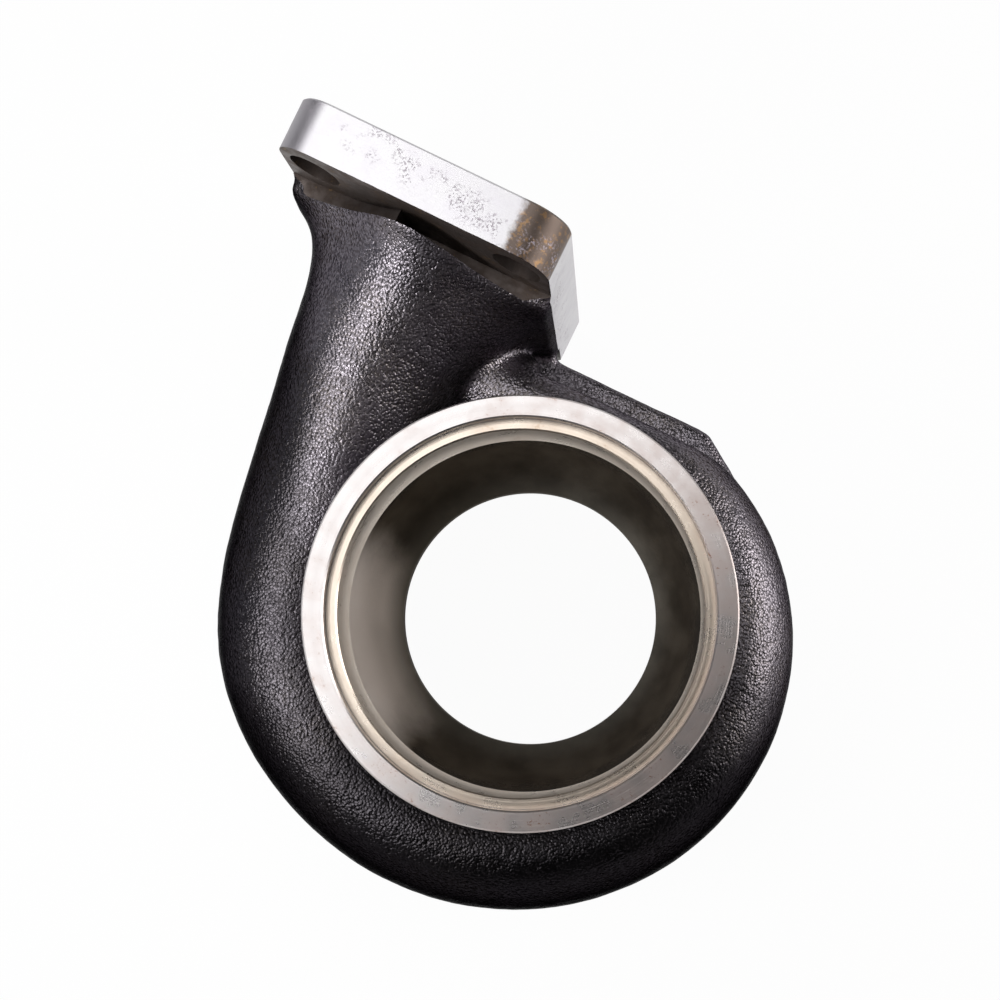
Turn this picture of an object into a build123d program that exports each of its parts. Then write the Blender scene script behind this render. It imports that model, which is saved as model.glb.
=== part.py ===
from build123d import *
from math import cos, radians, sin, tan
import os

# Turbine housing of a turbocharger: one iron casting with machined faces.
# Millimetres. The turbine axis is Z, the bearing side rests on Z = 0 and the outlet faces +Z.
# The inlet flange stands to the left of the axis and its gasket face looks along +Y.

# Outlet side, turned about the axis
outlet_height = 104.0       # bearing face to outlet face
vband_diameter = 97.4       # rim of the clamp flange
vband_rim = 2.6             # straight part of the rim
vband_back_angle = 20.0     # slope of the flange's back
collar_diameter = 90.0      # outlet neck behind the clamp flange
register_diameter = 87.6
register_depth = 2.5
mouth_diameter = 82.4       # outlet bowl where it meets the register
edge_break = 0.5

# Wheel bore
throat_diameter = 63.0
throat_depth = 41.7         # outlet face to the throat's lower edge
throat_land = 3.0
bowl_bulge = 4.4            # how far the outlet bowl swells past a straight cone
inducer_diameter = 72.0
nozzle_low = 22.0           # the gas slot around the wheel, lower and upper wall
nozzle_high = 34.0
nozzle_diameter = 100.0

# Bearing side
bearing_flange_diameter = 116.0
bearing_flange_thickness = 10.0
bearing_bore_diameter = 88.0
bearing_bore_depth = 12.0
shield_lip_diameter = 79.0
bearing_bolt_circle = 103.0
bearing_bolt_count = 8
bearing_bolt_drill = 6.8
bearing_bolt_depth = 12.0

# Hub between the bearing flange and the outlet neck
hub_diameter = 100.0
hub_foot = 4.0              # height of the cone that joins it to the bearing flange
hub_height = 54.0
hub_shoulder = 19.0         # height over which the hub draws in to the outlet neck

# Scroll, wound counter-clockwise as seen from the outlet, its angle counted from +X
wall = 5.6
scroll_first = 211.0        # first section after the neck's mouth
scroll_straight = 450.0     # from here the skin runs straight on into the neck
scroll_last = 490.0         # small end of the gas passage, under the neck
scroll_sections = 9
scroll_radius = 84.3        # outer radius at the first section
scroll_drop = 0.088         # outer radius lost for each degree
scroll_first_width = 43.5
scroll_last_width = 21.0
scroll_first_height = 60.6
scroll_last_height = 30.0
scroll_level = 37.0         # height of the scroll's middle
tongue_length = 46.0        # straight run of the skin

# Inlet flange
flange_width = 68.8
flange_length = 102.0
flange_thickness = 12.6
flange_corner = 9.3
flange_face = 84.2          # gasket face to the turbine axis
flange_offset = 62.6        # flange centre to the turbine axis
flange_bottom = 1.0         # lowest side of the flange
port_width = 42.0
port_length = 54.0
port_corner = 9.0
stud_spacing_width = 52.0
stud_spacing_length = 79.6
stud_hole = 12.5

# Nut rooms milled under the flange, one for each pair of studs
slot_height = 3.8
slot_reach = 23.0           # from the flange's side in to the slot's back wall
cutter_radius = 35.0        # the near slot's left part is cut with a disc cutter
cutter_offset = 31.4        # cutter centre to the flange centre
slot_step = 3.4             # where that part ends, from the flange centre

# Neck, from the root under the slots down to its mouth at the height of the axis.
# Each section has its outer side's distance from the axis, its width and its height.
root_width = 69.2
root_height = 96.0
flare_length = 8.5          # root to the foot of the flare
flare_side = 90.6
flare_width = 53.6
flare_height = 78.0
upper_place = 40.0          # distance of the upper section from the axis, along the neck
upper_side = 88.7
upper_width = 45.2
upper_height = 68.0
lower_place = 20.0
lower_side = 86.6
lower_width = 43.2
lower_height = 65.6
mouth_side = 84.8
mouth_width = 45.0
mouth_height = 64.0
neck_lean = 10.5            # the neck's middle climbs towards the flange, in degrees
core_root_height = 48.6     # gas passage where it leaves the port
core_flare_height = 52.0

# Shoulder plate cast between the neck and the scroll
shoulder_side = 68.3
shoulder_corner = 19.6      # where its edge turns down, from the turbine axis
shoulder_turn = 33.7        # how far it turns, in degrees
shoulder_run = 20.2         # length of its second edge
shoulder_root = 38.0        # how far in it reaches, hidden in the scroll
shoulder_lap = 16.0         # how far it runs into the neck
shoulder_low = 3.0
shoulder_high = 26.0

# Worked out
flange_underside = flange_face - flange_thickness
flange_middle = flange_bottom + flange_length / 2
flange_left = -flange_offset - flange_width / 2
flange_right = -flange_offset + flange_width / 2
neck_root = flange_underside - slot_height
flare_foot = neck_root - flare_length
slot_near = flange_bottom + flange_length - slot_reach
slot_far = flange_bottom + slot_reach
throat_level = outlet_height - throat_depth
land_level = throat_level + throat_land
register_level = outlet_height - register_depth
overrun = 1.0               # how far a cut runs past the face it opens

# Shoulders of a section, as shares of its half width and half height
ROUND = [(cos(radians(30)), sin(radians(30))), (cos(radians(60)), sin(radians(60)))]
FLARED = [(0.91, 0.47), (0.54, 0.80)]
GABLED = [(0.99, 0.53), (0.53, 0.72)]


def oval(centre, level, width, height, shoulders=ROUND):
    """Twelve points of a closed section, four ends with two shoulders between each pair."""
    rising = [(1, 0)] + shoulders + [(0, 1)]
    falling = [(-x, z) for x, z in reversed(shoulders)]
    upper = rising + falling
    lower = [(-x, -z) for x, z in upper]
    return [(centre + width / 2 * x, level + height / 2 * z) for x, z in upper + lower]


def section_outline(points):
    """Closed smooth edge with the same spans on every section, so that the lofts run evenly."""
    steps = [i / len(points) for i in range(len(points) + 1)]
    return Edge.make_spline([Vector(*point) for point in points], periodic=True, parameters=steps)


def neck_plane(place):
    """Plane across the neck: outward from the axis is +x, up is +y."""
    return Plane(origin=(0, place, 0), x_dir=(-1, 0, 0), z_dir=(0, 1, 0))


def neck_section(place, side, width, height, inset=0, shoulders=ROUND):
    """Points of a neck section whose outer side is given, drawn in by the inset."""
    level = flange_middle - (neck_root - place) * tan(radians(neck_lean))
    return oval(side - width / 2, level, width - 2 * inset, height - 2 * inset, shoulders)


def scroll_plane(angle):
    """Plane through the turbine axis: outward is +x, up is +y."""
    a = radians(angle)
    return Plane(origin=(0, 0, 0), x_dir=(cos(a), sin(a), 0), z_dir=(sin(a), -cos(a), 0))


def scroll_section(angle, inset=0):
    """Points of a scroll section, drawn in by the inset."""
    turned = (angle - scroll_first) / (scroll_last - scroll_first)
    width = scroll_first_width + turned * (scroll_last_width - scroll_first_width)
    height = scroll_first_height + turned * (scroll_last_height - scroll_first_height)
    outer = scroll_radius - scroll_drop * (angle - scroll_first)
    return oval(outer - width / 2, scroll_level, width - 2 * inset, height - 2 * inset)


def scroll_stations(last, inset=0):
    """Planes and sections from the neck's mouth on, evenly spaced up to the last angle."""
    step = (last - scroll_first) / (scroll_sections - 1)
    angles = [scroll_first + step * i for i in range(scroll_sections)]
    return [(scroll_plane(a), scroll_section(a, inset)) for a in angles]


root_points = oval(flange_offset, flange_middle, root_width, root_height, GABLED)

# Outer skin of the neck and scroll, one run from the flange to the small end
skin_sections = [
    (neck_plane(neck_root), root_points),
    (neck_plane(flare_foot),
     neck_section(flare_foot, flare_side, flare_width, flare_height, shoulders=FLARED)),
    (neck_plane(upper_place), neck_section(upper_place, upper_side, upper_width, upper_height)),
    (neck_plane(lower_place), neck_section(lower_place, lower_side, lower_width, lower_height)),
    (neck_plane(0), neck_section(0, mouth_side, mouth_width, mouth_height)),
] + scroll_stations(scroll_straight)
with BuildPart() as skin:
    for plane, points in skin_sections:
        with BuildSketch(plane):
            with BuildLine():
                add(section_outline(points))
            make_face()
    loft()

# Straight end of the skin, which closes the gap between the small end and the neck
with BuildPart() as tongue:
    with BuildSketch(scroll_plane(scroll_straight)):
        with BuildLine():
            add(section_outline(scroll_section(scroll_straight)))
        make_face()
    extrude(amount=-tongue_length)

# Root of the neck between the slots, up into the flange
with BuildPart() as root:
    with BuildSketch(neck_plane(neck_root)):
        with BuildLine():
            add(section_outline(root_points))
        make_face()
    extrude(amount=slot_height + overrun)

# Inlet flange block with its rounded corners
with BuildPart() as flange:
    with BuildSketch(Plane.XZ.offset(-flange_face)):
        with Locations((-flange_offset, flange_middle)):
            RectangleRounded(flange_width, flange_length, flange_corner)
    extrude(amount=flange_thickness)
    chamfer(flange.edges().group_by(Axis.Y)[-1], edge_break)

# Port through the flange, from its rounded rectangle to the oval of the passage
core_root = oval(flange_offset, flange_middle, port_width, core_root_height)
port_points = [(-x, z) for x, z in core_root]
with BuildPart() as port:
    with BuildSketch(Plane.XZ.offset(-flange_face)):
        with Locations((-flange_offset, flange_middle)):
            RectangleRounded(port_width, port_length, port_corner)
    with BuildSketch(Plane.XZ.offset(-neck_root)):
        with BuildLine():
            add(section_outline(port_points))
        make_face()
    loft()

# Gas passage, the same run as the skin drawn in by the wall
core_sections = [
    (neck_plane(neck_root), core_root),
    (neck_plane(flare_foot),
     neck_section(flare_foot, flare_side, flare_width, core_flare_height + 2 * wall, wall)),
    (neck_plane(upper_place),
     neck_section(upper_place, upper_side, upper_width, upper_height, wall)),
    (neck_plane(lower_place),
     neck_section(lower_place, lower_side, lower_width, lower_height, wall)),
    (neck_plane(0), neck_section(0, mouth_side, mouth_width, mouth_height, wall)),
] + scroll_stations(scroll_last, wall)
with BuildPart() as passage:
    for plane, points in core_sections:
        with BuildSketch(plane):
            with BuildLine():
                add(section_outline(points))
            make_face()
    loft()


# Hub, outlet neck and clamp flange, turned about the axis
vband_radius = vband_diameter / 2
collar_radius = collar_diameter / 2
hub_radius = hub_diameter / 2
rim_low = outlet_height - vband_rim
collar_high = rim_low - (vband_radius - collar_radius) * tan(radians(vband_back_angle))
collar_low = hub_height + hub_shoulder
hub_middle = ((hub_radius + collar_radius) / 2, (hub_height + collar_low) / 2)
with BuildPart() as hub:
    with BuildSketch(Plane.XZ):
        with BuildLine():
            Polyline((0, 0), (bearing_flange_diameter / 2, 0),
                     (bearing_flange_diameter / 2, bearing_flange_thickness),
                     (hub_radius, bearing_flange_thickness + hub_foot), (hub_radius, hub_height))
            TangentArc((hub_radius, hub_height), hub_middle, tangent=(0, 1))
            TangentArc((collar_radius, collar_low), hub_middle, tangent=(0, -1))
            Polyline((collar_radius, collar_low), (collar_radius, collar_high),
                     (vband_radius, rim_low), (vband_radius, outlet_height), (0, outlet_height),
                     (0, 0))
        make_face()
    revolve(axis=Axis.Z)

# Shoulder plate
turn = radians(shoulder_turn)
shoulder_end = (shoulder_corner + shoulder_run * cos(turn), shoulder_side - shoulder_run * sin(turn))
with BuildPart() as shoulder:
    with BuildSketch(Plane.XY.offset(shoulder_low)):
        with BuildLine():
            Polyline((flange_right - shoulder_lap, shoulder_side), (shoulder_corner, shoulder_side),
                     shoulder_end, (shoulder_end[0] + shoulder_lap / 2, shoulder_root),
                     (flange_right - shoulder_lap, shoulder_root), close=True)
        make_face()
    extrude(amount=shoulder_high - shoulder_low)

# Bore and outlet bowl, turned about the axis
throat_radius = throat_diameter / 2
mouth_radius = mouth_diameter / 2
register_radius = register_diameter / 2
bowl_middle = ((mouth_radius + throat_radius) / 2 + bowl_bulge, (register_level + land_level) / 2)
with BuildPart() as bore:
    with BuildSketch(Plane.XZ):
        with BuildLine():
            Polyline((0, outlet_height + overrun), (register_radius, outlet_height + overrun),
                     (register_radius, register_level), (mouth_radius, register_level))
            ThreePointArc((mouth_radius, register_level), bowl_middle, (throat_radius, land_level))
            Polyline((throat_radius, land_level), (throat_radius, throat_level),
                     (inducer_diameter / 2, nozzle_high), (nozzle_diameter / 2, nozzle_high),
                     (nozzle_diameter / 2, nozzle_low), (shield_lip_diameter / 2, nozzle_low),
                     (shield_lip_diameter / 2, bearing_bore_depth),
                     (bearing_bore_diameter / 2, bearing_bore_depth),
                     (bearing_bore_diameter / 2, -overrun), (0, -overrun),
                     (0, outlet_height + overrun))
        make_face()
    revolve(axis=Axis.Z)

# Nut rooms under the flange, as their milled cuts
with BuildPart() as nut_rooms:
    with BuildSketch(Plane.XZ.offset(-flange_underside)):
        with Locations((-flange_offset - cutter_offset, slot_near + cutter_radius)):
            Circle(cutter_radius)
        with Locations((-flange_offset - slot_step, slot_near)):
            Rectangle(flange_width, flange_length, align=(Align.MIN, Align.MIN))
        with Locations((-flange_offset, slot_far)):
            Rectangle(flange_width * 2, flange_length, align=(Align.CENTER, Align.MAX))
    extrude(amount=slot_height)

# The root milled flush with the flange's two ends
with BuildPart() as end_cuts:
    with BuildSketch(Plane.XZ.offset(-flange_underside - overrun)):
        with Locations((flange_left, flange_middle)):
            Rectangle(flange_width, flange_length, align=(Align.MAX, Align.CENTER))
        with Locations((flange_right, flange_middle)):
            Rectangle(flange_width, flange_length, align=(Align.MIN, Align.CENTER))
    extrude(amount=overrun + slot_height + flare_length)

# Neck and scroll with their root, cut flush at the flange's ends
with BuildPart() as neck:
    add(skin.part)
    add(tongue.part)
    add(root.part)
    add(end_cuts.part, mode=Mode.SUBTRACT)

# The whole casting
with BuildPart() as turbine_housing:
    add(hub.part)
    add(shoulder.part)
    add(neck.part)
    add(flange.part)
    add(nut_rooms.part, mode=Mode.SUBTRACT)
    add(port.part, mode=Mode.SUBTRACT)
    add(passage.part, mode=Mode.SUBTRACT)
    add(bore.part, mode=Mode.SUBTRACT)
    with BuildSketch(Plane.XZ.offset(-flange_face)):
        with Locations((-flange_offset, flange_middle)):
            with GridLocations(stud_spacing_width, stud_spacing_length, 2, 2):
                Circle(stud_hole / 2)
    extrude(amount=flange_thickness, mode=Mode.SUBTRACT)
    with BuildSketch(Plane.XY):
        with PolarLocations(bearing_bolt_circle / 2, bearing_bolt_count):
            Circle(bearing_bolt_drill / 2)
    extrude(amount=bearing_bolt_depth, mode=Mode.SUBTRACT)

turbine_housing.part.label = "turbine_housing"
os.makedirs("parts", exist_ok=True)
export_step(turbine_housing.part, "parts/turbine_housing.step")
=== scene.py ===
# %% [markdown]
# # Turbine housing of a turbocharger
# The real object is one iron casting. It is poured in sand, so its skin is rough and nearly
# black, and then a lathe and a mill cut the faces that other parts seat on. This lesson makes it
# in the same order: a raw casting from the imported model, then the cuts, then the finishes.

import math

import bmesh
import bpy
import numpy as np
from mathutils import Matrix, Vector


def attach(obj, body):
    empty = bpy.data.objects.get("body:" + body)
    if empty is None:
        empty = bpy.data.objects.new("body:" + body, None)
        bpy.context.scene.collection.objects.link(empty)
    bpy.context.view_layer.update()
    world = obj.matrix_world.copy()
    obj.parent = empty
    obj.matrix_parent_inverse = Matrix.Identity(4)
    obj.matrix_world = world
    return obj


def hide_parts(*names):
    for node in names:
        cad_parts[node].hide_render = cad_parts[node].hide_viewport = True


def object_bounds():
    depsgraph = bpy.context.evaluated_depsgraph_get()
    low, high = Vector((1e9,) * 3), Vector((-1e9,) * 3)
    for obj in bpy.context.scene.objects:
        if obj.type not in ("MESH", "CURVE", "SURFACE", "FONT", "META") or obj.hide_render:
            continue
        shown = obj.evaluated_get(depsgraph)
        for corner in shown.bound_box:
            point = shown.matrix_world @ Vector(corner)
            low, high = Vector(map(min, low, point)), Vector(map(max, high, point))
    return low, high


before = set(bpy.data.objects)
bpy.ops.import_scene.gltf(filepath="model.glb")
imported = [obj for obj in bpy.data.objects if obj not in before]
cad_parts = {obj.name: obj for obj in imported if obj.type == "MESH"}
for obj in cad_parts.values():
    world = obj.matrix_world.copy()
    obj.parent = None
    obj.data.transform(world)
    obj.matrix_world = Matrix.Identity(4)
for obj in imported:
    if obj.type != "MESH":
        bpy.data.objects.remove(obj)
cad_low, cad_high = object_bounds()
housing_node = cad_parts["turbine_housing"]
mm = 0.001
print("packed box in mm:", [round(v / mm, 1) for v in (*cad_low, *cad_high)])

# %% [markdown]
# ## Camera
# The photograph looks down on the outlet from about 41 cm, turned 26 degrees about the turbine
# axis. Its place comes from the outlet rings and the flange's edges, which one camera has to fit
# all at once. The object isn't in the middle of the picture, and a lens shift gives that framing
# without tilting the camera.

# %% Camera
camera_data = bpy.data.cameras.new("camera")
camera_data.sensor_width = 36.0
camera_data.lens = 50.4
camera_data.shift_x = -0.1036
camera_data.shift_y = 0.1329
camera_data.clip_start = 0.01
camera = bpy.data.objects.new("camera", camera_data)
camera.location = (21.88 * mm, -0.30 * mm, 414.31 * mm)
camera.rotation_euler = [math.radians(a) for a in (1.010, 0.189, 25.873)]
bpy.context.collection.objects.link(camera)
bpy.context.scene.camera = camera
bpy.context.scene.view_settings.view_transform = "Standard"
print("camera looks down from", round(camera.location.z / mm), "mm")

# %% [markdown]
# ## Sizes of the machined faces
# The cuts are made again here as crisp cutters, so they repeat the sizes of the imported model, in
# millimetres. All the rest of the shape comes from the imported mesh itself.

# %% Sizes of the cuts
outlet_level = 104.0
rim_radius, rim_low = 48.7, 101.4
collar_radius, collar_high, collar_low = 45.0, 100.05, 91.0
register_radius, register_level = 43.8, 101.5
relief_radius, relief_inner, relief_level = 44.1, 42.7, 100.7
mouth_radius, throat_radius = 41.2, 31.5
bowl_middle = (40.75, 83.4)
land_level, throat_level = 65.3, 62.3
inducer_radius, nozzle_high, nozzle_low = 36.0, 34.0, 22.0
shield_lip_radius, spigot_radius, spigot_depth = 39.5, 44.0, 12.0
flange_x, flange_z = -62.6, 52.0
flange_half_width, flange_half_length = 34.4, 51.0
gasket_face, underside, neck_root = 84.2, 71.6, 67.8
stud_half_x, stud_half_z, stud_radius = 26.0, 39.8, 6.25
disc_radius, disc_offset, slot_step = 35.0, 31.4, 3.4
slot_near, slot_far = 80.0, 24.0
bolt_circle, bolt_radius, bolt_depth, bolt_count = 51.5, 3.4, 12.0, 8
edge_break = 0.35
parting_level = 37.4
print("throat", 2 * throat_radius, "mm, clamp rim", 2 * rim_radius, "mm")

# %% [markdown]
# ## Raw casting
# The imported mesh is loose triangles, fine where it bends and huge where it is flat. A voxel
# remesh of a merged copy gives an even skin instead, which can be smoothed and roughened like
# sand-cast iron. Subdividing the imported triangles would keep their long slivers, so it isn't done
# that way.

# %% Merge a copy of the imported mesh
voxel = 0.9 * mm
merge_distance = 0.002 * mm


def link_mesh(name, mesh):
    """New object for a mesh, at the origin."""
    obj = bpy.data.objects.new(name, mesh)
    bpy.context.collection.objects.link(obj)
    return obj


def settled(obj, name):
    """Plain copy of an object with its modifiers worked in. The first object is removed."""
    graph = bpy.context.evaluated_depsgraph_get()
    mesh = bpy.data.meshes.new_from_object(obj.evaluated_get(graph))
    bpy.data.objects.remove(obj)
    return link_mesh(name, mesh)


copy = bmesh.new()
copy.from_mesh(housing_node.data)
bmesh.ops.remove_doubles(copy, verts=copy.verts, dist=merge_distance)
print("merged copy:", len(copy.verts), "vertices,", len(copy.faces), "triangles")

# %% [markdown]
# The nut rooms are milled out of a solid root, so the raw casting has none. A slice of the packed
# model just below them gives the root's outline, and a prism of it fills each room up to the
# flange. The two prisms end beside the port, which stays open between them.

# %% Fill the nut rooms again
slice_below = 0.25
into_flange = 0.8
past_slot = 0.6


def longest_loop(edges):
    """Vertices of the longest closed loop among the edges, in order."""
    left, loops = dict.fromkeys(edges), []
    while left:
        edge = next(iter(left))
        del left[edge]
        loop = [edge.verts[0], edge.verts[1]]
        while True:
            onward = [e for e in loop[-1].link_edges if e in left]
            if not onward:
                break
            del left[onward[0]]
            loop.append(onward[0].other_vert(loop[-1]))
        loops.append(loop)
    best = max(loops, key=lambda ring: sum((a.co - b.co).length for a, b in zip(ring, ring[1:])))
    return [v.co.copy() for v in best[:-1]]


slicing = copy.copy()
low_cut, high_cut = (neck_root - slice_below) * mm, (underside + into_flange) * mm
everything = slicing.verts[:] + slicing.edges[:] + slicing.faces[:]
sliced = bmesh.ops.bisect_plane(slicing, geom=everything, plane_co=(0, low_cut, 0),
                                plane_no=(0, 1, 0))
cut_edges = [g for g in sliced["geom_cut"] if isinstance(g, bmesh.types.BMEdge)]
outline = longest_loop(cut_edges)
slicing.free()
right_end = (flange_x + flange_half_width) * mm
room_ends = ((slot_near - past_slot, cad_high[2] / mm), (0.0, slot_far + past_slot))
for first_z, last_z in room_ends:
    ring = [(min(p.x, right_end), min(max(p.z, first_z * mm), last_z * mm)) for p in outline]
    foot = [copy.verts.new((x, low_cut, z)) for x, z in ring]
    head = [copy.verts.new((x, high_cut, z)) for x, z in ring]
    fill = [copy.faces.new(foot), copy.faces.new(head[::-1])]
    fill += [copy.faces.new((foot[i - 1], head[i - 1], head[i], foot[i]))
             for i in range(len(ring))]
    bmesh.ops.recalc_face_normals(copy, faces=fill)
merged = bpy.data.meshes.new("merged")
copy.to_mesh(merged)
copy.free()
casting = link_mesh("casting", merged)
levels = [p.z / mm for p in outline]
print("root outline of", len(outline), "points, z", round(min(levels), 1), "to",
      round(max(levels), 1))

# %% [markdown]
# Now the voxel remesh. A voxel of 0.9 mm keeps the ridges of the neck and stays quick to smooth.

# %% Remesh it evenly
def even_skin(obj, name):
    """Voxel remesh of an object, as a new plain mesh."""
    remesh = obj.modifiers.new("even skin", "REMESH")
    remesh.mode = "VOXEL"
    remesh.voxel_size = voxel
    return settled(obj, name)


casting = even_skin(casting, "casting")
print("even skin:", len(casting.data.vertices), "vertices")

# %% [markdown]
# ## Stock for the cutters
# A founder leaves extra iron wherever a face will be machined. Here those areas swell by about a
# millimetre along their normals, so that every cutter has something to bite into. A second remesh
# clears the folds that swelling leaves in narrow grooves.

# %% Leave stock on the machined areas
stock = 1.2
room_wall = 1.0
below_flange = 0.6


def positions(mesh):
    """Vertex positions in millimetres."""
    flat = np.empty(len(mesh.vertices) * 3, np.float32)
    mesh.vertices.foreach_get("co", flat)
    return flat.reshape(-1, 3) / mm


def normals(mesh):
    """Vertex normals."""
    flat = np.empty(len(mesh.vertices) * 3, np.float32)
    mesh.vertex_normals.foreach_get("vector", flat)
    return flat.reshape(-1, 3)


def move_to(mesh, points):
    """Puts the vertices at points given in millimetres."""
    mesh.vertices.foreach_set("co", (points * mm).astype(np.float32).ravel())
    mesh.update()


def ramp(value, low, high):
    """0 below low, 1 above high, and smooth between them."""
    t = np.clip((value - low) / (high - low), 0, 1)
    return t * t * (3 - 2 * t)


def machined_share(points):
    """1 where a face will be machined and 0 where the cast skin stays.

    Each border is in millimetres and lies a little outside the cut that it serves.
    """
    x, y, z = points.T
    radius = np.hypot(x, y)
    outlet = ramp(z, 90.0, 91.5) * (radius < 54)
    bowl = ramp(z, 56.0, 62.0) * (radius < 43)
    wheel_bore = (radius < 38) * ramp(z, 34.5, 36.0)
    bearing_side = (radius < 59.5) * (z < 1.0) + (radius < 46) * (z < 20.5)
    flange_block = ramp(y, underside - 0.2, underside + 0.4)
    areas = np.stack([outlet, bowl, wheel_bore, bearing_side, flange_block])
    return np.clip(areas.max(0), 0, 1).astype(np.float32)


skin = casting.data
points = positions(skin)
push = normals(skin) * (stock * machined_share(points))[:, None]
height, depth = points[:, 1], points[:, 2]
between_rooms = height > underside - below_flange
between_rooms &= (depth > slot_far + room_wall) & (depth < slot_near - room_wall)
push[:, 1] = np.where(between_rooms, np.clip(push[:, 1], 0, None), push[:, 1])
move_to(skin, points + push)
casting = even_skin(casting, "casting")
print("casting with stock:", len(casting.data.vertices), "vertices")

# %% [markdown]
# ## Fillets of the pattern
# A casting has no sharp inner corner, because sand can't hold one. Each pass looks at how far a
# vertex lies below the middle of its neighbours. Where the hollow is tighter than the fillet's
# radius, the vertex moves outwards, and where an outer edge is too sharp it moves in. The thin
# ridge on the neck's far side is kept from wear, because rounding would eat it away.

# %% Round the corners of the casting
fillet_radius = 3.2
corner_radius = 1.1
fillet_passes = 60
passes_per_normal = 6
share_per_pass = 0.6
smoothing_passes = 8
smoothing, ridge_hold = 0.5, 0.42
ridge_low, ridge_rise, ridge_x = 52, 12, -80


def neighbour_middle(points, ends, count):
    """Middle of each vertex's neighbours."""
    a, b = ends
    sums = [np.bincount(a, points[b, i], count) + np.bincount(b, points[a, i], count)
            for i in range(3)]
    shares = np.bincount(a, minlength=count) + np.bincount(b, minlength=count)
    return np.stack(sums, 1) / shares[:, None]


skin = casting.data
count = len(skin.vertices)
ends = np.empty(len(skin.edges) * 2, np.int32)
skin.edges.foreach_get("vertices", ends)
ends = ends.reshape(-1, 2).T
spacing = (voxel / mm) ** 2
points = positions(skin)
kept = np.clip((points[:, 1] - ridge_low) / ridge_rise, 0, 1) * (points[:, 0] < ridge_x)
for step in range(fillet_passes):
    if step % passes_per_normal == 0:
        move_to(skin, points)
        outward = normals(skin)
    bend = ((neighbour_middle(points, ends, count) - points) * outward).sum(1)
    fill = np.clip(bend - spacing / (4 * fillet_radius), 0, None)
    wear = np.clip(-bend - spacing / (4 * corner_radius), 0, None) * (1 - kept)
    points += outward * (share_per_pass * (fill - wear))[:, None]
share = (smoothing - ridge_hold * kept)[:, None]
for step in range(smoothing_passes):
    points += share * (neighbour_middle(points, ends, count) - points)
move_to(skin, points)
print("fillets of about", fillet_radius, "mm in", fillet_passes, "passes")

# %% [markdown]
# The vertices remember where stock was left, so that the sand texture can stay away from there.

# %% Mark the machined areas
machined = machined_share(points)
machined_mark = skin.attributes.new("machined", "FLOAT", "POINT")
machined_mark.data.foreach_set("value", machined)
print("stock on", round(100 * float((machined > 0.5).mean())), "% of the skin")

# %% [markdown]
# ## Sand texture as real shape
# The larger grain of the skin is geometry, and the fine grain comes later as bump in the
# material. Geometry Nodes push each vertex along its normal by layered noise, except where stock
# was left.

# %% Helpers for any node tree
def feed(tree, socket, value):
    """Links a socket to a value's socket, or sets the value on it."""
    if isinstance(value, bpy.types.NodeSocket):
        tree.links.new(value, socket)
    else:
        socket.default_value = value


def sum_up(tree, operation, first, second=0.0, clamp=False):
    """Result of a Math node."""
    node = tree.nodes.new("ShaderNodeMath")
    node.operation = operation
    node.use_clamp = clamp
    feed(tree, node.inputs[0], first)
    feed(tree, node.inputs[1], second)
    return node.outputs[0]


def plus(tree, first, *others):
    """Sum of two or more values."""
    for other in others:
        first = sum_up(tree, "ADD", first, other)
    return first


def times(tree, first, *others):
    """Product of two or more values."""
    for other in others:
        first = sum_up(tree, "MULTIPLY", first, other)
    return first


def minus(tree, first, second, clamp=False):
    """Difference of two values."""
    return sum_up(tree, "SUBTRACT", first, second, clamp)


# %% Node tree for the sand texture
wave_height, wave_length = 0.35 * mm, 14 * mm
lump_height, lump_length = 0.22 * mm, 3.0 * mm
sand_seed = 3.0
kept_triangles = 0.34


def sand_tree():
    """Geometry Nodes that roughen a cast skin."""
    tree = bpy.data.node_groups.new("sand texture", "GeometryNodeTree")
    face = tree.interface
    face.new_socket("Geometry", in_out="INPUT", socket_type="NodeSocketGeometry")
    for name in ("Wave height", "Wave length", "Lump height", "Lump length", "Seed"):
        face.new_socket(name, in_out="INPUT", socket_type="NodeSocketFloat")
    face.new_socket("Finish", in_out="INPUT", socket_type="NodeSocketMaterial")
    face.new_socket("Geometry", in_out="OUTPUT", socket_type="NodeSocketGeometry")
    node, join = tree.nodes.new, tree.links.new
    given = node("NodeGroupInput").outputs
    mark = node("GeometryNodeInputNamedAttribute")
    mark.data_type = "FLOAT"
    mark.inputs["Name"].default_value = "machined"
    layers = []
    for height, length in (("Wave height", "Wave length"), ("Lump height", "Lump length")):
        texture = node("ShaderNodeTexNoise")
        texture.noise_dimensions = "4D"
        texture.inputs["Detail"].default_value = 2.0
        join(given["Seed"], texture.inputs["W"])
        join(sum_up(tree, "DIVIDE", 1.0, given[length]), texture.inputs["Scale"])
        layers.append(times(tree, minus(tree, texture.outputs["Fac"], 0.5), given[height]))
    cast = minus(tree, 1.0, mark.outputs["Attribute"])
    push = node("ShaderNodeVectorMath")
    push.operation = "SCALE"
    join(node("GeometryNodeInputNormal").outputs["Normal"], push.inputs[0])
    join(times(tree, plus(tree, *layers), cast), push.inputs["Scale"])
    place = node("GeometryNodeSetPosition")
    join(given["Geometry"], place.inputs["Geometry"])
    join(push.outputs["Vector"], place.inputs["Offset"])
    real = node("GeometryNodeRealizeInstances")
    join(place.outputs["Geometry"], real.inputs["Geometry"])
    finish = node("GeometryNodeSetMaterial")
    join(real.outputs["Geometry"], finish.inputs["Geometry"])
    join(given["Finish"], finish.inputs["Material"])
    join(finish.outputs["Geometry"], node("NodeGroupOutput").inputs["Geometry"])
    return tree


def set_input(modifier, name, value):
    """Gives a Geometry Nodes modifier one of its inputs."""
    for item in modifier.node_group.interface.items_tree:
        if item.item_type == "SOCKET" and item.in_out == "INPUT" and item.name == name:
            modifier[item.identifier] = value


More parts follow.
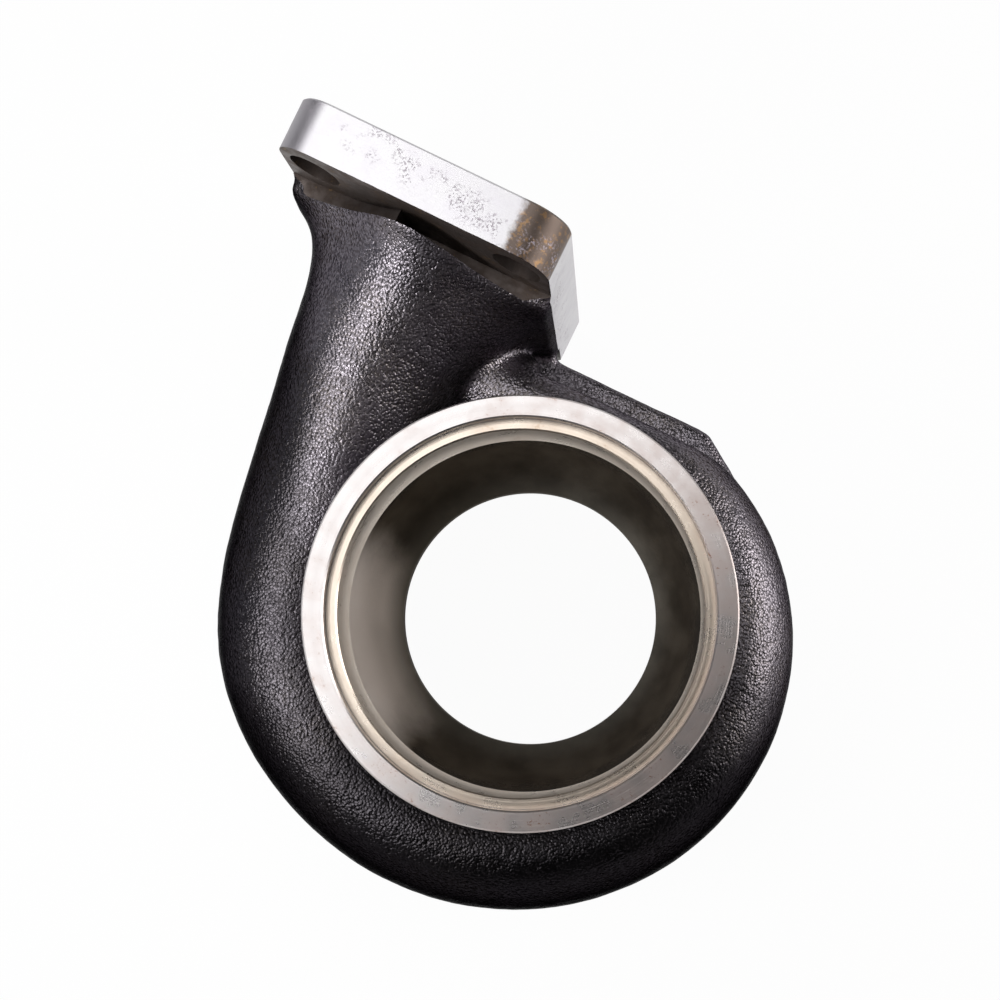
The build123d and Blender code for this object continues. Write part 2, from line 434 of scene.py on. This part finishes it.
# %% Roughen the casting and thin it out
finish_names = ("cast_skin", "turned_iron", "bore_skin", "milled_iron", "rusty_cut")
finishes = {name: bpy.data.materials.new(name) for name in finish_names}
casting.data.materials.clear()
sand = casting.modifiers.new("sand texture", "NODES")
sand.node_group = sand_tree()
for name, value in (("Wave height", wave_height), ("Wave length", wave_length),
                    ("Lump height", lump_height), ("Lump length", lump_length),
                    ("Seed", sand_seed), ("Finish", finishes["cast_skin"])):
    set_input(sand, name, value)
thin = casting.modifiers.new("fewer triangles", "DECIMATE")
thin.ratio = kept_triangles
casting = settled(casting, "casting")
print("rough casting:", len(casting.data.polygons), "faces")

# %% [markdown]
# ## Cutters
# Each cutter is a closed solid that stands for one setup of the machine: the lathe tool's path
# turned about the axis, the milling cutter's sweep through a nut room, a drill. Each carries the
# finish that it leaves behind, and the cut hands that finish on to the new face.

# %% Closed solids
lathe_steps = 192
clear_above, clear_beside, clear_below = 112, 56, -6


def closed_solid(name, verts, faces, finish_of):
    """Object of a cutter. finish_of gives each face its finish from its middle."""
    mesh = bpy.data.meshes.new(name)
    mesh.from_pydata([Vector(v) * mm for v in verts], [], faces)
    for finish in finish_names:
        mesh.materials.append(finishes[finish])
    work = bmesh.new()
    work.from_mesh(mesh)
    bmesh.ops.recalc_face_normals(work, faces=work.faces)
    for face in work.faces:
        face.material_index = finish_names.index(finish_of(face.calc_center_median() / mm))
    work.to_mesh(mesh)
    work.free()
    return link_mesh(name, mesh)


def turned(name, profile, finish_of):
    """Closed solid of revolution about Z. The profile starts and ends on the axis."""
    rings = profile[1:-1]
    verts = [(0, 0, profile[0][1]), (0, 0, profile[-1][1])]
    for step in range(lathe_steps):
        a = 2 * math.pi * step / lathe_steps
        verts += [(r * math.cos(a), r * math.sin(a), level) for r, level in rings]
    size = len(rings)
    faces = []
    for step in range(lathe_steps):
        here, there = 2 + step * size, 2 + (step + 1) % lathe_steps * size
        faces += [(here + i, there + i, there + i + 1, here + i + 1) for i in range(size - 1)]
        faces += [(0, there, here), (1, here + size - 1, there + size - 1)]
    return closed_solid(name, verts, faces, finish_of)


def arc_through(start, middle, end, steps):
    """Points of the circle's arc from start through middle to end."""
    (ax, ay), (bx, by), (cx, cy) = start, middle, end
    d = 2 * (ax * (by - cy) + bx * (cy - ay) + cx * (ay - by))
    a2, b2, c2 = ax * ax + ay * ay, bx * bx + by * by, cx * cx + cy * cy
    ux = (a2 * (by - cy) + b2 * (cy - ay) + c2 * (ay - by)) / d
    uy = (a2 * (cx - bx) + b2 * (ax - cx) + c2 * (bx - ax)) / d
    first, last = math.atan2(ay - uy, ax - ux), math.atan2(cy - uy, cx - ux)
    size = math.hypot(ax - ux, ay - uy)
    angles = [first + (last - first) * i / steps for i in range(steps + 1)]
    return [(ux + size * math.cos(a), uy + size * math.sin(a)) for a in angles]


# %% [markdown]
# The lathe's path runs down the outside of the clamp flange first, then over the register and the
# relief groove into the bowl, through the throat and out of the bearing side.

# %% Lathe cutter
bearing_height = 20
bowl_steps = 20


def lathe_finish(middle):
    """Bright on the outlet's rings, dull in the bore."""
    r = math.hypot(middle.x, middle.y)
    if middle.z < bearing_height or r > mouth_radius + 0.1:
        return "turned_iron"
    return "bore_skin"


lathe_path = [(0, clear_above), (clear_beside, clear_above), (clear_beside, collar_low),
              (collar_radius, collar_low),
              (collar_radius, collar_high), (rim_radius, rim_low),
              (rim_radius, outlet_level - edge_break), (rim_radius - edge_break, outlet_level),
              (register_radius + edge_break, outlet_level),
              (register_radius, outlet_level - edge_break), (register_radius, register_level),
              (relief_radius, register_level), (relief_radius, relief_level),
              (relief_inner, relief_level), (relief_inner, register_level),
              (mouth_radius + edge_break, register_level)]
lathe_path += arc_through((mouth_radius, register_level - edge_break), bowl_middle,
                          (throat_radius, land_level), bowl_steps)
lathe_path += [(throat_radius, throat_level), (inducer_radius, nozzle_high),
               (inducer_radius, nozzle_low), (shield_lip_radius, nozzle_low),
               (shield_lip_radius, spigot_depth), (spigot_radius, spigot_depth),
               (spigot_radius, clear_below), (0, clear_below)]
cutters = [turned("lathe_cut", lathe_path, lathe_finish)]
print("lathe path of", len(lathe_path), "points")

# %% [markdown]
# A milling cutter sweeps a block or a frame round the flange's outline, and a drill a cylinder.
# Their far ends only have to lie outside the iron.

# %% Milling cutters and drills
flange_corner = 9.3
stud_steps, disc_steps, bolt_steps = 64, 256, 40


def plain_finish(name):
    """The same finish on the whole cutter."""
    return lambda middle: name


def block(name, low, high, finish_of):
    """Box between two corners."""
    (ax, ay, az), (bx, by, bz) = low, high
    verts = [(ax, ay, az), (bx, ay, az), (bx, by, az), (ax, by, az),
             (ax, ay, bz), (bx, ay, bz), (bx, by, bz), (ax, by, bz)]
    faces = [(0, 1, 2, 3), (4, 5, 6, 7), (0, 1, 5, 4), (1, 2, 6, 5), (2, 3, 7, 6), (3, 0, 4, 7)]
    return closed_solid(name, verts, faces, finish_of)


def drill(name, centre, axis, size, length, finish_of, steps):
    """Cylinder that starts at centre and runs along axis."""
    turn = Vector((0, 0, 1)).rotation_difference(Vector(axis)).to_matrix()
    angles = [2 * math.pi * i / steps for i in range(steps)]
    rim = [Vector((size * math.cos(a), size * math.sin(a), 0)) for a in angles]
    verts = [turn @ p + Vector(centre) for p in rim]
    verts += [turn @ (p + Vector((0, 0, length))) + Vector(centre) for p in rim]
    faces = [tuple(range(steps)), tuple(range(steps, 2 * steps))]
    faces += [(i, (i + 1) % steps, steps + (i + 1) % steps, steps + i) for i in range(steps)]
    return closed_solid(name, verts, faces, finish_of)


def flange_outline(inset=0.0, steps=12):
    """Rounded rectangle of the flange as x and z."""
    half_x, half_z = flange_half_width - inset, flange_half_length - inset
    corner = flange_corner - inset
    points = []
    for i, (sx, sz) in enumerate(((1, 1), (-1, 1), (-1, -1), (1, -1))):
        for step in range(steps + 1):
            a = math.radians(90 * (i + step / steps))
            points.append((flange_x + sx * (half_x - corner) + corner * math.cos(a),
                           flange_z + sz * (half_z - corner) + corner * math.sin(a)))
    return points


def surround(name, low, high, inner_low, inner_high, finish_of):
    """Thick frame round the flange, between two levels of y. It cuts all that lies outside it."""
    wider, longer = 1.7, 1.5
    outer = [(flange_x + wider * (x - flange_x), flange_z + longer * (z - flange_z))
             for x, z in inner_low]
    verts = []
    for level, inner in ((low, inner_low), (high, inner_high)):
        verts += [(x, level, z) for x, z in inner] + [(x, level, z) for x, z in outer]
    size = len(inner_low)
    faces = []
    for i in range(size):
        j = (i + 1) % size
        faces += [(i, j, size + j, size + i),
                  (2 * size + j, 2 * size + i, 3 * size + i, 3 * size + j),
                  (j, i, 2 * size + i, 2 * size + j),
                  (size + i, size + j, 3 * size + j, 3 * size + i)]
    return closed_solid(name, verts, faces, finish_of)


# %% [markdown]
# These are the cuts of the flange, the rooms for the nuts and the drilled holes. The frame round
# the flange reaches a little below its underside, so that the cast edge there is trimmed too.

# %% Set up the cuts
flange_left, flange_right = flange_x - flange_half_width, flange_x + flange_half_width
past_end, past_side, past_top = 20, -20, 125
trim = 0.9
chamfer_reach = 0.5
room_overrun = 0.6
stud_start, stud_length = 0.8, 20
milled, rusty = plain_finish("milled_iron"), plain_finish("rusty_cut")
skin_kept, turned_face = plain_finish("cast_skin"), plain_finish("turned_iron")
wide, narrow = flange_outline(), flange_outline(2 * chamfer_reach)
cutters += [
    block("gasket_cut", (-115, gasket_face, past_side), (-10, 100, past_top), milled),
    surround("profile_cut", underside - trim, 90, wide, wide, milled),
    surround("chamfer_cut", gasket_face - chamfer_reach, gasket_face + chamfer_reach, wide, narrow,
             milled),
    block("end_cut", (flange_left - past_end, 50, past_side), (flange_left, underside, past_top),
          skin_kept),
    block("bearing_cut", (-110, -100, -12), (90, 95, 0), turned_face),
    block("near_room_cut", (flange_x - slot_step, neck_root, slot_near),
          (flange_right + room_overrun, underside, past_top), rusty),
    block("far_room_cut", (flange_left - past_end, neck_root, past_side),
          (flange_right + room_overrun, underside, slot_far), rusty),
    drill("disc_cut", (flange_x - disc_offset, neck_root, slot_near + disc_radius), (0, 1, 0),
          disc_radius, underside - neck_root, rusty, disc_steps),
]
for side in (-1, 1):
    for end in (-1, 1):
        centre = (flange_x + side * stud_half_x, underside - stud_start,
                  flange_z + end * stud_half_z)
        cutters.append(drill("stud_drill", centre, (0, 1, 0), stud_radius, stud_length, rusty,
                             stud_steps))
for i in range(bolt_count):
    a = 2 * math.pi * i / bolt_count
    centre = (bolt_circle * math.cos(a), bolt_circle * math.sin(a), clear_below)
    cutters.append(drill("bolt_drill", centre, (0, 0, 1), bolt_radius, bolt_depth - clear_below,
                         plain_finish("bore_skin"), bolt_steps))
print(len(cutters), "cutters")

# %% [markdown]
# ## Machining
# One Boolean takes all the cutters at once. Every new edge is then sharp, and the skin stays
# smooth.

# %% Cut the casting
sharp_from = math.radians(32)
tool_rack = bpy.data.collections.new("tool rack")
bpy.context.scene.collection.children.link(tool_rack)
for cutter in cutters:
    bpy.context.collection.objects.unlink(cutter)
    tool_rack.objects.link(cutter)
casting.data.materials.clear()
for finish in finish_names:
    casting.data.materials.append(finishes[finish])
cut = casting.modifiers.new("machining", "BOOLEAN")
cut.operation = "DIFFERENCE"
cut.solver = "MANIFOLD"
cut.operand_type = "COLLECTION"
cut.collection = tool_rack
housing = settled(casting, "housing_casting")
for cutter in cutters:
    bpy.data.objects.remove(cutter)
bpy.data.collections.remove(tool_rack)
shape = housing.data
shape.shade_smooth()
shape.set_sharp_from_angle(angle=sharp_from)
shares = np.bincount([p.material_index for p in shape.polygons], minlength=len(finish_names))
print("faces of each finish:", dict(zip(finish_names, shares.tolist())))
print("triangles:", sum(len(p.vertices) - 2 for p in shape.polygons))

# %% [markdown]
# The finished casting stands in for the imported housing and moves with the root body.

# %% Ride on the frame
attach(housing, "root")
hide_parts("turbine_housing")

# %% [markdown]
# ## Floor and light
# The photograph is a plain studio cut-out, so the floor and the world show white to the camera
# and to reflections, and the floor still catches the object's shadow. Large soft lamps light it:
# one over the inlet's side, one low at the right, a small one near the flange and a faint cool
# one at the left.

# %% Floor
reach, floor_drop = 1.5, 0.2 * mm
paper_colour, shown_white = 0.85, 0.96
floor_mesh = bpy.data.meshes.new("floor")
floor_mesh.from_pydata([(-reach, -reach, 0), (reach, -reach, 0), (reach, reach, 0),
                        (-reach, reach, 0)], [], [(0, 1, 2, 3)])
floor = link_mesh("floor", floor_mesh)
floor.location.z = -floor_drop


def mixed(tree, share, first, second):
    """Mix of two shaders."""
    node = tree.nodes.new("ShaderNodeMixShader")
    feed(tree, node.inputs["Fac"], share)
    tree.links.new(first, node.inputs[1])
    tree.links.new(second, node.inputs[2])
    return node.outputs[0]


def reflected(tree, ray):
    """1 for a ray that comes from a mirror or through glass."""
    return sum_up(tree, "MAXIMUM", ray["Is Glossy Ray"], ray["Is Transmission Ray"])


paper = bpy.data.materials.new("white_paper")
paper.use_nodes = True
tree = paper.node_tree
tree.nodes.clear()
sheet = tree.nodes.new("ShaderNodeBsdfDiffuse")
sheet.inputs["Color"].default_value = (paper_colour, paper_colour, paper_colour, 1)
glow = tree.nodes.new("ShaderNodeEmission")
glow.inputs["Strength"].default_value = 1.0
ray = tree.nodes.new("ShaderNodeLightPath").outputs
shown = sum_up(tree, "MAXIMUM", ray["Is Camera Ray"], reflected(tree, ray))
seen = times(tree, shown, shown_white)
surface = mixed(tree, seen, sheet.outputs[0], glow.outputs[0])
tree.links.new(surface, tree.nodes.new("ShaderNodeOutputMaterial").inputs["Surface"])
floor_mesh.materials.append(paper)
print("floor of", 2 * reach, "m,", round(floor_drop / mm, 1), "mm below the housing")


# %% Lamps
def softbox(name, place, aim, size, radiance, colour=(1, 1, 1)):
    """Rectangular area lamp that looks at a point. A radiance of 1 is as bright as white paper."""
    lamp = bpy.data.lights.new(name, "AREA")
    lamp.shape = "RECTANGLE"
    lamp.size, lamp.size_y = size
    lamp.energy = math.pi * size[0] * size[1] * radiance
    lamp.color = colour
    obj = bpy.data.objects.new(name, lamp)
    obj.location = place
    obj.rotation_euler = (Vector(aim) - Vector(place)).to_track_quat("-Z", "Y").to_euler()
    obj.visible_camera = False
    bpy.context.collection.objects.link(obj)
    print(name, "lamp of", round(lamp.energy, 2), "W")


softbox("key", (-0.25, 0.13, 0.46), (-0.12, 0.06, 0.0), (0.42, 0.58), 2.15)
softbox("side", (0.44, 0.31, 0.26), (-0.02, -0.01, 0.06), (0.32, 0.34), 6, (1.0, 0.98, 0.96))
softbox("near", (-0.12, -0.15, 0.25), (-0.063, 0.045, 0.085), (0.13, 0.13), 9.6)
softbox("cool", (-0.60, -0.20, 0.12), (-0.02, 0, 0.05), (0.4, 0.3), 0.15, (0.50, 0.65, 1.0))

# %% [markdown]
# The world is white to the camera. In reflections it is white at the floor's edge and dims just
# above it, like the dark room over a lit table, and it fills the shadows only a little.

# %% World
room_top, room_dim, room_fill = 0.08, 0.03, 0.05
world = bpy.data.worlds.new("studio")
bpy.context.scene.world = world
world.use_nodes = True
tree = world.node_tree
tree.nodes.clear()
direction = tree.nodes.new("ShaderNodeSeparateXYZ")
tree.links.new(tree.nodes.new("ShaderNodeTexCoord").outputs["Generated"], direction.inputs[0])
dimming = tree.nodes.new("ShaderNodeMapRange")
for name, value in (("Value", direction.outputs["Z"]), ("From Min", 0.0), ("From Max", room_top),
                    ("To Min", 1.0), ("To Max", room_dim)):
    feed(tree, dimming.inputs[name], value)


def sky(strength):
    """White background of a strength."""
    node = tree.nodes.new("ShaderNodeBackground")
    node.inputs["Color"].default_value = (1, 1, 1, 1)
    feed(tree, node.inputs["Strength"], strength)
    return node.outputs[0]


ray = tree.nodes.new("ShaderNodeLightPath").outputs
unseen = mixed(tree, reflected(tree, ray), sky(room_fill), sky(dimming.outputs[0]))
surface = mixed(tree, ray["Is Camera Ray"], unseen, sky(1.0))
tree.links.new(surface, tree.nodes.new("ShaderNodeOutputWorld").inputs["Surface"])
print("world dims to", room_dim, "above the floor's edge")

# %% [markdown]
# ## Finishes
# All finishes are node trees on Object coordinates, so they need no picture and stay in place
# when the part turns. A few short helpers keep the trees readable.

# %% Helpers for finishes
def start(name):
    """Node tree of one finish and its Object coordinates."""
    finishes[name].use_nodes = True
    tree = finishes[name].node_tree
    return tree, tree.nodes.new("ShaderNodeTexCoord").outputs["Object"]


def dress(tree, colour, metallic, roughness, normal, edge_tint=(1, 1, 1)):
    """Sets the shader's inputs. edge_tint is what it reflects at grazing angles."""
    sockets = tree.nodes["Principled BSDF"].inputs
    feed(tree, sockets["Base Color"], colour)
    sockets["Metallic"].default_value = metallic
    sockets["Specular Tint"].default_value = (*edge_tint, 1)
    feed(tree, sockets["Roughness"], roughness)
    feed(tree, sockets["Normal"], normal)


def noise(tree, place, size, detail=3.0, roughness=0.55, stretch=(1, 1, 1)):
    """Noise whose lumps are about size across, in metres."""
    mapping = tree.nodes.new("ShaderNodeMapping")
    mapping.inputs["Scale"].default_value = stretch
    tree.links.new(place, mapping.inputs["Vector"])
    node = tree.nodes.new("ShaderNodeTexNoise")
    node.inputs["Scale"].default_value = 1 / size
    node.inputs["Detail"].default_value = detail
    node.inputs["Roughness"].default_value = roughness
    tree.links.new(mapping.outputs[0], node.inputs["Vector"])
    return node.outputs["Fac"]


def pebbles(tree, place, size):
    """Rounded grains about size across: 1 on top of a grain, and a crease between two."""
    node = tree.nodes.new("ShaderNodeTexVoronoi")
    node.inputs["Scale"].default_value = 1 / size
    tree.links.new(place, node.inputs["Vector"])
    far = node.outputs["Distance"]
    return minus(tree, 1.0, times(tree, far, far))


def between(tree, value, low, high, first=0.0, last=1.0):
    """Stretches value from the range low to high onto first to last, and stops there."""
    node = tree.nodes.new("ShaderNodeMapRange")
    node.interpolation_type = "SMOOTHSTEP"
    feed(tree, node.inputs["Value"], value)
    for name, number in (("From Min", low), ("From Max", high), ("To Min", first),
                         ("To Max", last)):
        feed(tree, node.inputs[name], number)
    return node.outputs[0]


def colour_value(colour):
    """Colour of three numbers with its alpha, or a socket as it is."""
    return colour if isinstance(colour, bpy.types.NodeSocket) else (*colour, 1)


def blend_colours(tree, amount, first, second):
    """Colour between two, by an amount from 0 to 1."""
    node = tree.nodes.new("ShaderNodeMix")
    node.data_type = "RGBA"
    feed(tree, node.inputs["Factor"], amount)
    colours = [i for i in node.inputs if i.type == "RGBA"]
    feed(tree, colours[0], colour_value(first))
    feed(tree, colours[1], colour_value(second))
    return [o for o in node.outputs if o.type == "RGBA"][0]


def bump(tree, height, depth, strength):
    """Normal of a height field, depth in metres."""
    node = tree.nodes.new("ShaderNodeBump")
    node.inputs["Strength"].default_value = strength
    node.inputs["Distance"].default_value = depth
    tree.links.new(height, node.inputs["Height"])
    return node.outputs[0]


def axes(tree, place):
    """The three Object coordinates one by one, and the distance from the turbine axis."""
    split = tree.nodes.new("ShaderNodeSeparateXYZ")
    tree.links.new(place, split.inputs[0])
    x, y, z = split.outputs
    return x, y, z, sum_up(tree, "SQRT", plus(tree, times(tree, x, x), times(tree, y, y)))


def off(tree, value, level):
    """How far a value is from a level, either way."""
    return sum_up(tree, "ABSOLUTE", minus(tree, value, level))


def flat_place(tree, across, along=0.0):
    """Place in a plane, for noise that depends on one or two values only."""
    node = tree.nodes.new("ShaderNodeCombineXYZ")
    feed(tree, node.inputs["X"], across)
    feed(tree, node.inputs["Y"], along)
    return node.outputs[0]


print("finishes to make:", ", ".join(finish_names))

# %% [markdown]
# ### Cast skin
# Sand leaves rounded grains, one beside the other, on a skin that is black from its oxide with a
# brown cast in patches. The tops of the grains are rubbed and shine a little, which is what makes
# the sheen on the neck sparkle. Two halves of the mould met at the scroll's widest level, which left
# a thin seam.
# The lower side and the outer side are painted near black, which is painted shade. The grain
# could be geometry too, but at this size it is far cheaper as bump, and the larger waves and lumps
# are real shape already.

# %% Cast skin
grain_size, fine_size, lump_size = 0.74 * mm, 0.4 * mm, 3.2 * mm
patch_size, rub_size, grain_depth = 22 * mm, 9 * mm, 0.21 * mm
tree, place = start("cast_skin")
x, y, z, out = axes(tree, place)
grain = pebbles(tree, place, grain_size)
fine = noise(tree, place, fine_size, 2.0)
lumps = noise(tree, place, lump_size)
height = plus(tree, grain, times(tree, fine, 0.45), times(tree, lumps, 1.5))
seam = between(tree, off(tree, z, parting_level * mm), 0.25 * mm, 0.9 * mm, 1.0, 0.0)
in_port = times(tree, between(tree, off(tree, x, flange_x * mm), 23 * mm, 22 * mm),
                between(tree, y, 20 * mm, 22 * mm))
outside = minus(tree, between(tree, out, 50 * mm, 52 * mm), in_port, clamp=True)
height = plus(tree, height, times(tree, seam, outside, 0.9))
tops = between(tree, plus(tree, grain, times(tree, fine, 0.5)), 0.80, 1.25)
patches = between(tree, noise(tree, place, patch_size, 4.0), 0.35, 0.7)
dark = blend_colours(tree, patches, (0.138, 0.126, 0.141), (0.148, 0.131, 0.130))
rubbed = blend_colours(tree, tops, dark, (0.235, 0.215, 0.238))
# Painted shade: the skin is painted near black toward the lower side and toward the outer side.
toward_light = plus(tree, minus(tree, y, times(tree, x, 0.35)), times(tree, patches, 12 * mm))
shaded_side = plus(tree, times(tree, x, -0.90), times(tree, y, -0.436),
                  times(tree, patches, 5 * mm))
painted_shade = sum_up(tree, "MAXIMUM", between(tree, toward_light, -40 * mm, 22 * mm, 0.88, 0.0),
              between(tree, shaded_side, 47 * mm, 62 * mm, 0.0, 0.72))
dress(tree, blend_colours(tree, painted_shade, rubbed, (0.012, 0.011, 0.012)), 1.0,
      between(tree, noise(tree, place, rub_size), 0.3, 0.7, 0.33, 0.26),
      bump(tree, height, grain_depth, 0.9), (0.05, 0.05, 0.055))
print("cast skin: grains of", round(grain_size / mm, 2), "mm")

# %% [markdown]
# ### Turned rings
# The lathe leaves fine grooves that run round the axis, so the bump and the bands depend on the
# distance from it. The side away from the inlet has more wear and rust specks, and its browner,
# darker colour there is partly painted shade. The register below the rim has a straw tint from heat.

# %% Turned rings
groove_size, groove_depth, band_size = 0.22 * mm, 0.030 * mm, 1.3 * mm
smudge_size, speck_size = 7 * mm, 0.9 * mm
tree, place = start("turned_iron")
x, _, z, out = axes(tree, place)
ring_place = flat_place(tree, out, times(tree, z, 0.35))
lines = noise(tree, ring_place, groove_size, 2.0)
bands = noise(tree, ring_place, band_size, 2.0)
smudge = noise(tree, place, smudge_size, 5.0, 0.6)
specks = noise(tree, place, speck_size, 3.0, 0.7)
# Partly painted shade: the +x side is painted browner and darker, besides its real stains and rust.
stain_and_shade = between(tree, plus(tree, times(tree, x, 3.2), times(tree, smudge, 0.9)), 0.25, 0.70)
clean = blend_colours(tree, bands, (0.46, 0.435, 0.43), (0.56, 0.535, 0.53))
worn_and_shaded = blend_colours(tree, stain_and_shade, clean, (0.45, 0.385, 0.365))
rust = between(tree, times(tree, specks, plus(tree, smudge, 0.35)), 0.54, 0.66)
rust = times(tree, rust, between(tree, stain_and_shade, 0.1, 0.9, 0.15, 0.8))
stained = blend_colours(tree, rust, worn_and_shaded, (0.22, 0.10, 0.05))
straw = between(tree, out, (register_radius + 0.1) * mm, (register_radius - 0.2) * mm)
dress(tree, blend_colours(tree, times(tree, straw, 0.65), stained, (0.62, 0.52, 0.41)), 1.0,
      between(tree, smudge, 0.3, 0.7, 0.26, 0.34), bump(tree, lines, groove_depth, 0.9))
print("turned rings: grooves about", round(groove_size / mm, 2), "mm apart")

# %% [markdown]
# ### Bore
# Exhaust gas has coloured the bowl a dull olive bronze. Its lathe grooves are softer, with soot
# flecks. Toward the throat it is painted lighter, which is painted light, and one side below the
# rim carries a painted highlight, a pale beige patch.

# %% Bore
soot_size, fleck_size, turning_size, bore_depth = 11 * mm, 0.8 * mm, 0.5 * mm, 0.05 * mm
tree, place = start("bore_skin")
x, y, z, out = axes(tree, place)
soot = noise(tree, place, soot_size, 5.0, 0.6)
flecks = noise(tree, place, fleck_size, 4.0, 0.7)
tint = blend_colours(tree, between(tree, soot, 0.3, 0.7), (0.080, 0.070, 0.059),
                     (0.125, 0.110, 0.092))
tint = blend_colours(tree, between(tree, flecks, 0.56, 0.72, 0.0, 0.6), tint, (0.10, 0.08, 0.055))
# Painted light: the bowl is painted lighter toward the throat.
throat_painted_light = times(tree, between(tree, z, 72 * mm, 62 * mm), 0.5)
tint = blend_colours(tree, throat_painted_light, tint, (0.30, 0.29, 0.26))
# Painted highlight: a pale beige patch on the wall that faces this way, below the rim.
highlight_side = sum_up(tree, "DIVIDE", plus(tree, times(tree, x, -0.82), times(tree, y, -0.57)), out)
highlight_side = plus(tree, highlight_side, times(tree, soot, 0.12))
painted_highlight = times(tree, between(tree, highlight_side, 0.78, 1.02), between(tree, z, 64 * mm, 72 * mm))
turning = noise(tree, flat_place(tree, z), turning_size, 2.0)
dress(tree, blend_colours(tree, painted_highlight, tint, (0.74, 0.67, 0.62)), 0.9,
      between(tree, soot, 0.3, 0.7, 0.40, 0.50),
      bump(tree, plus(tree, times(tree, turning, 0.5), flecks), bore_depth, 0.6),
      (0.14, 0.13, 0.12))
print("bore: soot clouds of", round(soot_size / mm), "mm")

# %% [markdown]
# ### Milled faces
# The milled end of the flange is nearly white. Casting pores break through it in a loose trail,
# with a lilac grey bottom. The corner by the outlet has rusted to a ragged bronze, and the far
# corner is grey.

# %% Milled faces
haze_size, pore_size, cluster_size = 6 * mm, 0.62 * mm, 5 * mm
ragged_size, rust_size, stroke_size, pore_depth = 2.5 * mm, 1.6 * mm, 0.35 * mm, 0.06 * mm
tree, place = start("milled_iron")
x, y, z, _ = axes(tree, place)
trail = plus(tree, minus(tree, y, 78.5 * mm), times(tree, plus(tree, x, 62 * mm), 0.12))
near_trail = between(tree, sum_up(tree, "ABSOLUTE", trail), 6 * mm, 1 * mm)
clusters = between(tree, noise(tree, place, cluster_size, 3.0, 0.6), 0.45, 0.62)
pores = between(tree, noise(tree, place, pore_size, 4.0, 0.6), 0.52, 0.60)
pitted = times(tree, pores, clusters, near_trail)
haze = noise(tree, place, haze_size, 5.0, 0.6)
metal = blend_colours(tree, between(tree, haze, 0.35, 0.65), (0.56, 0.545, 0.57),
                      (0.65, 0.64, 0.655))
ragged = plus(tree, x, times(tree, noise(tree, place, ragged_size, 4.0, 0.7), 4.0 * mm))
near_corner = times(tree, between(tree, ragged, -38.4 * mm, -36.0 * mm),
                    between(tree, z, 93.4 * mm, 94.2 * mm))
rust = between(tree, noise(tree, place, rust_size, 4.0, 0.7), 0.52, 0.62)
bronze = blend_colours(tree, rust, (0.13, 0.10, 0.085), (0.25, 0.155, 0.085))
metal = blend_colours(tree, near_corner, metal, bronze)
far_corner = times(tree, between(tree, x, -88.5 * mm, -91.0 * mm),
                   between(tree, z, 92.0 * mm, 95.0 * mm))
metal = blend_colours(tree, far_corner, metal, (0.33, 0.315, 0.34))
strokes = noise(tree, place, stroke_size, 2.0, 0.5, (0.06, 1, 1))
dress(tree, blend_colours(tree, pitted, metal, (0.36, 0.32, 0.36)), 0.9,
      between(tree, haze, 0.3, 0.7, 0.38, 0.48),
      bump(tree, minus(tree, times(tree, strokes, 0.35), pitted), pore_depth, 0.6))
print("milled faces: pores of", round(pore_size / mm, 2), "mm")

# %% [markdown]
# ### Nut rooms
# The cutter's faces under the flange are bare, and have begun to rust: pinkish brown, with gold
# where water stood.

# %% Nut rooms
cloud_size, crumb_size, crumb_depth = 5 * mm, 0.7 * mm, 0.06 * mm
tree, place = start("rusty_cut")
cloud = noise(tree, place, cloud_size, 5.0, 0.65)
crumbs = noise(tree, place, crumb_size, 4.0, 0.7)
brown = blend_colours(tree, between(tree, cloud, 0.35, 0.65), (0.11, 0.090, 0.082),
                      (0.075, 0.055, 0.046))
gold = between(tree, times(tree, cloud, crumbs), 0.33, 0.42, 0.0, 0.7)
dress(tree, blend_colours(tree, gold, brown, (0.24, 0.16, 0.08)), 0.7,
      between(tree, cloud, 0.3, 0.7, 0.40, 0.62), bump(tree, crumbs, crumb_depth, 0.6))
print("nut rooms: rust clouds of", round(cloud_size / mm), "mm")
